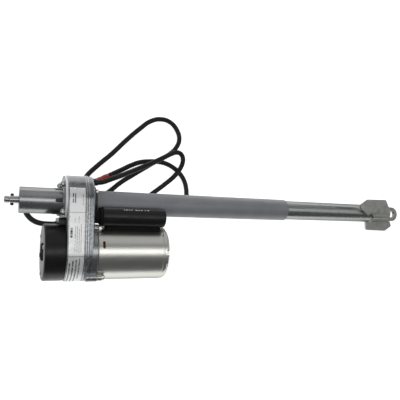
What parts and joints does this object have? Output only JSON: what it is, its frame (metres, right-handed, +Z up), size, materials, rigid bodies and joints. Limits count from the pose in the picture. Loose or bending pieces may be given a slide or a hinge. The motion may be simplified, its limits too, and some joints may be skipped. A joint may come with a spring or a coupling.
{
  "type": "linear actuator",
  "caption": "Mains-driven linear actuator: capacitor motor with brake, two-stage gearbox, hand crank stub and lead screw pushing a telescopic tube with a front eye.",
  "frame": {"origin": "centre of the overall box's base, cords left out, on the surface that the actuator lies on", "axes": "+X along the screw towards the front eye, +Y from the motor towards the screw, +Z up"},
  "size_m": [0.636, 0.2356, 0.0743],
  "materials": {
    "painted_housing": "semi-gloss dark grey enamel",
    "bright_plate": "bright zinc-plated sheet",
    "zinc_fasteners": "zinc-plated",
    "cast_aluminium": "as-cast, lightly tumbled",
    "gasket": "matt black",
    "label": null,
    "bearing_steel": "ground",
    "painted_tube": "satin grey enamel",
    "flange_steel": "black phosphate",
    "bush_nylon": "natural nylon",
    "motor_steel": "satin nickel plate",
    "lamination": "laminated silicon steel",
    "winding": "enamelled copper, varnished",
    "black_plastic": "semi-gloss black moulding",
    "black_rubber": "matt black rubber",
    "brake_steel": "zinc-plated, dull",
    "cord_jacket": "black cord jacket, soft sheen",
    "red_sleeve": "orange-red shrink sleeve",
    "connector_nylon": "natural nylon",
    "gear_brass": "hobbed",
    "gear_steel": "hobbed, oiled",
    "screw_steel": "rolled thread, greased",
    "galvanised_tube": "galvanised, welded seam",
    "nut_acetal": "natural acetal",
    "cast_bracket": "dull sand-blasted casting"
  },
  "bodies": {
    "housing": {"rear_housing": "painted_housing", "bearing_plate": "bright_plate", "plate_bolts": "zinc_fasteners", "rear_screw_bearing": "bearing_steel", "gearbox_cover": "cast_aluminium", "gearbox_gasket": "gasket", "gearbox_housing": "cast_aluminium", "rating_label": "label", "front_screw_bearing": "bearing_steel", "cluster_shaft": "bearing_steel", "outer_tube": "painted_tube", "tube_flange": "flange_steel", "flange_screws": "zinc_fasteners", "guide_bush": "bush_nylon", "wiper_seal": "gasket", "motor_can": "motor_steel", "motor_end_cap": "motor_steel", "motor_bolts": "zinc_fasteners", "end_cap_screws": "zinc_fasteners", "motor_bearings": "bearing_steel", "stator_core": "lamination", "stator_windings": "winding", "capacitor": "black_plastic", "capacitor_boot": "black_rubber", "capacitor_cradle": "black_rubber", "brake_cover": "black_plastic", "brake_end_plate": "brake_steel", "brake_end_screws": "zinc_fasteners", "brake_clip": "black_plastic", "brake_coil": "winding", "cord_glands": "black_plastic", "start_lead": "cord_jacket", "motor_lead": "cord_jacket", "supply_cord": "cord_jacket", "supply_sleeve": "red_sleeve", "supply_connector": "connector_nylon", "brake_lead": "cord_jacket"},
    "rotor": {"motor_shaft": "bearing_steel", "motor_pinion": "gear_brass", "rotor_core": "lamination", "brake_disc": "brake_steel"},
    "cluster": {"cluster_gear": "gear_brass"},
    "screw": {"drive_screw": "screw_steel", "screw_gear": "gear_steel", "screw_lock_nut": "gear_steel", "end_stop_washer": "gear_steel", "crank_pin": "flange_steel"},
    "rod": {"inner_tube": "galvanised_tube", "drive_nut": "nut_acetal", "nut_pins": "zinc_fasteners", "front_bracket": "cast_bracket", "bracket_pins": "zinc_fasteners"}
  },
  "joints": [
    {"name": "rotor_spin", "type": "hinge", "parent": "housing", "child": "rotor", "pos_m": [-0.185, -0.03085, 0.037], "axis": [1, 0, 0], "range_deg": [-73440, 99360]},
    {"name": "cluster_spin", "type": "hinge", "parent": "housing", "child": "cluster", "pos_m": [-0.231, -0.00085, 0.037], "axis": [1, 0, 0], "range_deg": [-24850, 18370]},
    {"name": "screw_spin", "type": "hinge", "parent": "housing", "child": "screw", "pos_m": [-0.245, 0.03415, 0.037], "axis": [1, 0, 0], "range_deg": [-6125, 8285]},
    {"name": "rod_slide", "type": "slide", "parent": "housing", "child": "rod", "axis": [1, 0, 0], "range_m": [-0.1151, 0.0851]}
  ],
  "couplings": [
    {"joint": "cluster_spin", "follows": "rotor_spin", "ratio": -0.25},
    {"joint": "screw_spin", "follows": "rotor_spin", "ratio": 0.083333},
    {"joint": "rod_slide", "follows": "rotor_spin", "m_per_rad": -0.000066315}
  ]
}
